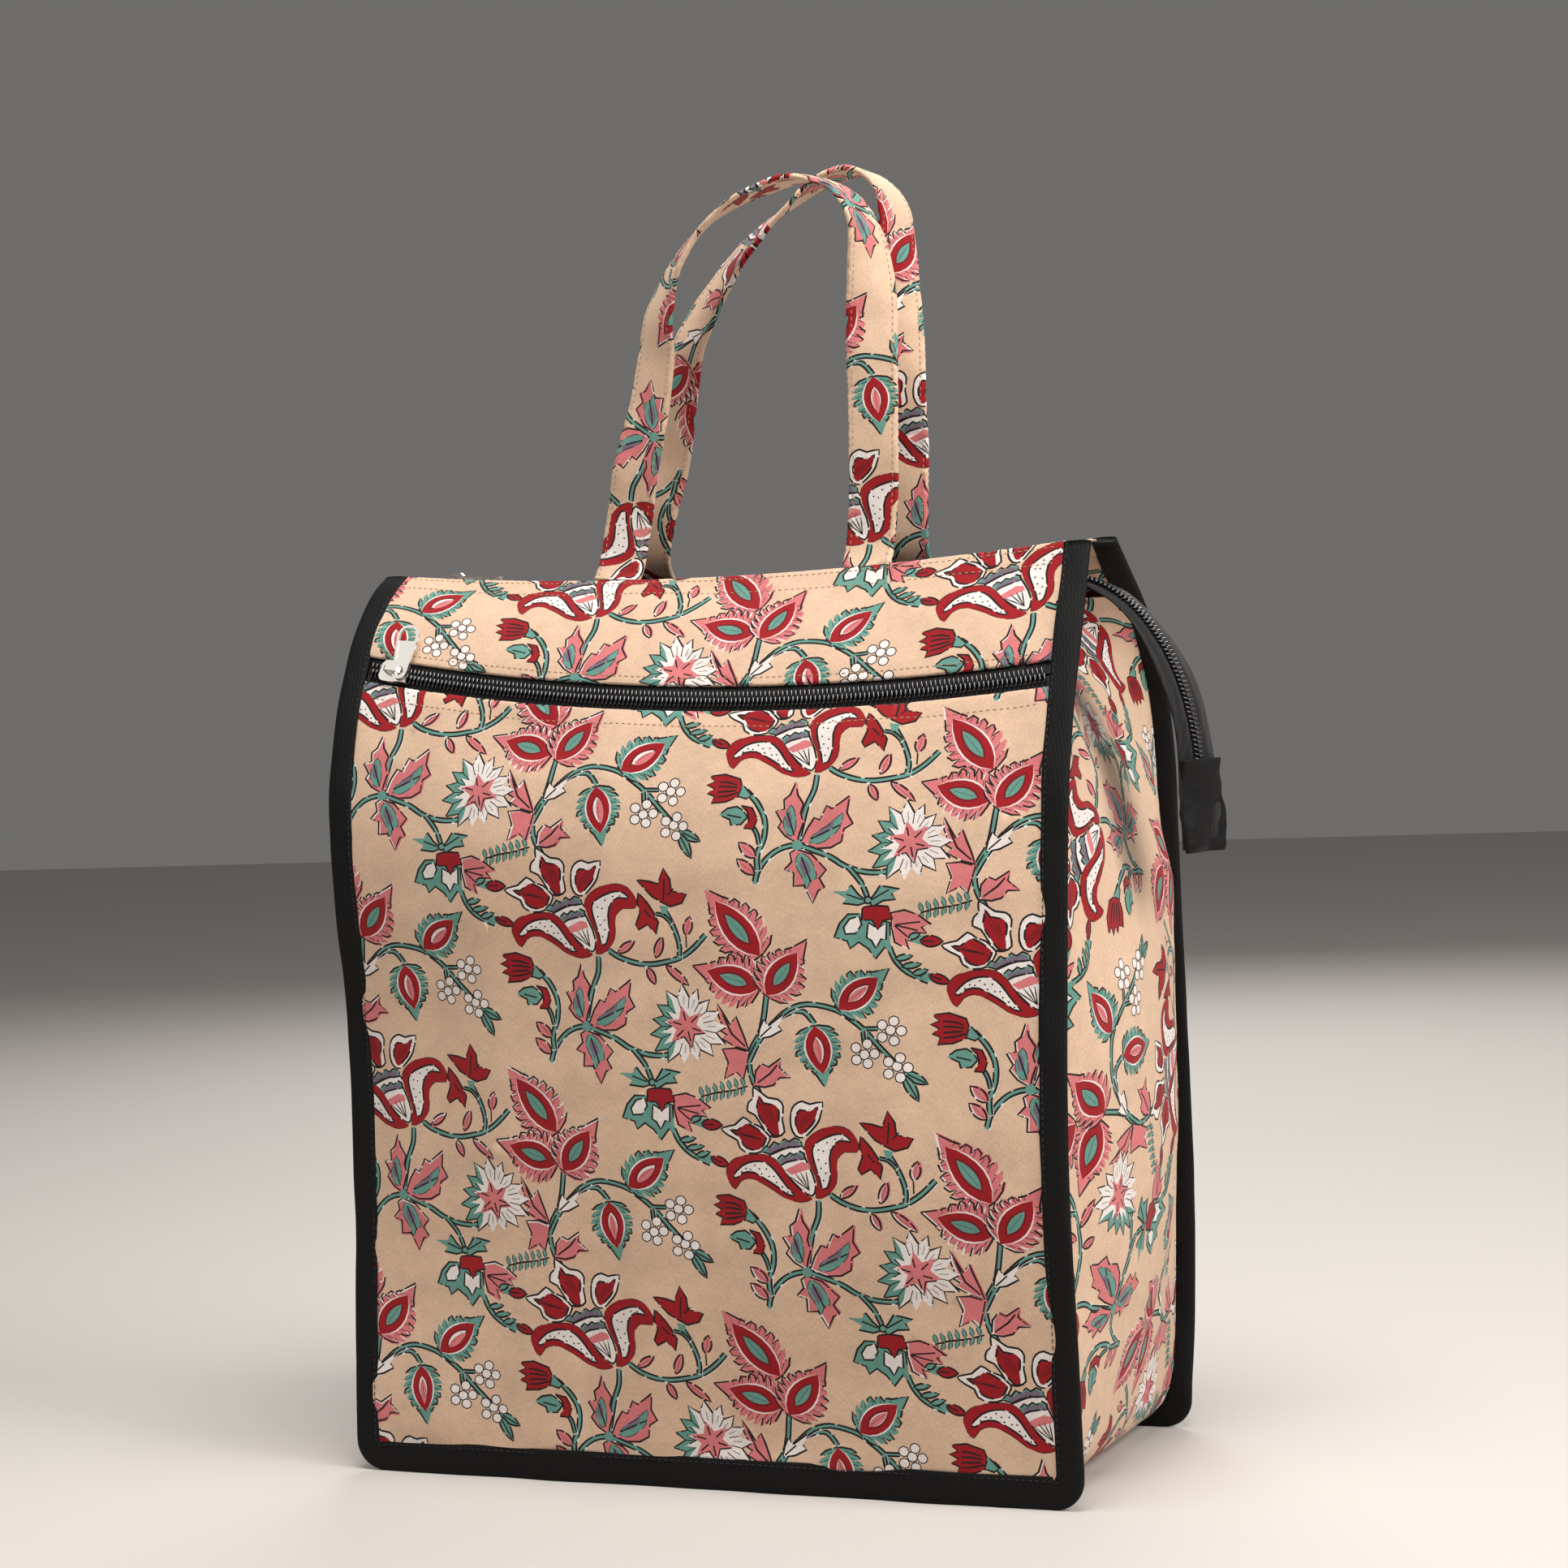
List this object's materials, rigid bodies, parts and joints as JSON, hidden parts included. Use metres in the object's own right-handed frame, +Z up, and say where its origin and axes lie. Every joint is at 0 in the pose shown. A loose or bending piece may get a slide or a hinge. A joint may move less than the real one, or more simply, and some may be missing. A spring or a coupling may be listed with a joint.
{
  "type": "shopping bag",
  "caption": "Block-printed cotton shopping bag with black bound edges, zipped top with a hanging tail, zipped front pocket and twisted carrying straps.",
  "frame": {"origin": "middle of the flat bottom, on the floor", "axes": "+X to the wearer's right as the front is looked at, +Y towards the back, +Z up to the straps"},
  "size_m": [0.4146, 0.2021, 0.601],
  "materials": {
    "printed_cotton": "matte printed cotton",
    "lining_cotton": "matte plain cotton",
    "black_binding": "matte black cotton",
    "zip_tape": "black woven tape",
    "zip_coil": "black nylon",
    "nickel": "polished nickel plate"
  },
  "bodies": {
    "bag": {"front_panel": "printed_cotton", "front_yoke": "printed_cotton", "pocket_lining": "lining_cotton", "back_panel": "printed_cotton", "gusset": "printed_cotton", "front_binding": "black_binding", "back_binding": "black_binding", "front_handle": "printed_cotton", "back_handle": "printed_cotton", "front_zip_upper_tape": "zip_tape", "front_zip_lower_tape": "zip_tape", "front_zip_upper_coil": "zip_coil", "front_zip_lower_coil": "zip_coil", "top_zip_front_tape": "zip_tape", "top_zip_back_tape": "zip_tape", "top_zip_front_coil": "zip_coil", "top_zip_back_coil": "zip_coil", "top_zip_end_tab": "black_binding"},
    "front_slider": {"front_zip_slider": "nickel"},
    "front_pull": {"front_zip_pull": "nickel"},
    "top_slider": {"top_zip_slider": "nickel"},
    "top_pull": {"top_zip_pull": "nickel"}
  },
  "joints": [
    {"name": "front_zip_travel", "type": "hinge", "parent": "bag", "child": "front_slider", "pos_m": [0.02625, 0.38799, 1.26535], "axis": [0.0618, -0.8971, 0.4375], "range_deg": [0, 17.2]},
    {"name": "front_pull_turn", "type": "hinge", "parent": "front_slider", "child": "front_pull", "pos_m": [-0.14825, -0.0634, 0.37478], "axis": [0.0618, -0.8971, 0.4375], "range_deg": [-180, 0]},
    {"name": "top_zip_travel", "type": "slide", "parent": "bag", "child": "top_slider", "axis": [0.9993, 0, -0.0374], "range_m": [0, 0.272]},
    {"name": "top_pull_flip", "type": "hinge", "parent": "top_slider", "child": "top_pull", "pos_m": [-0.15128, 0.001, 0.42011], "axis": [0, -1, 0], "range_deg": [0, 135]}
  ]
}
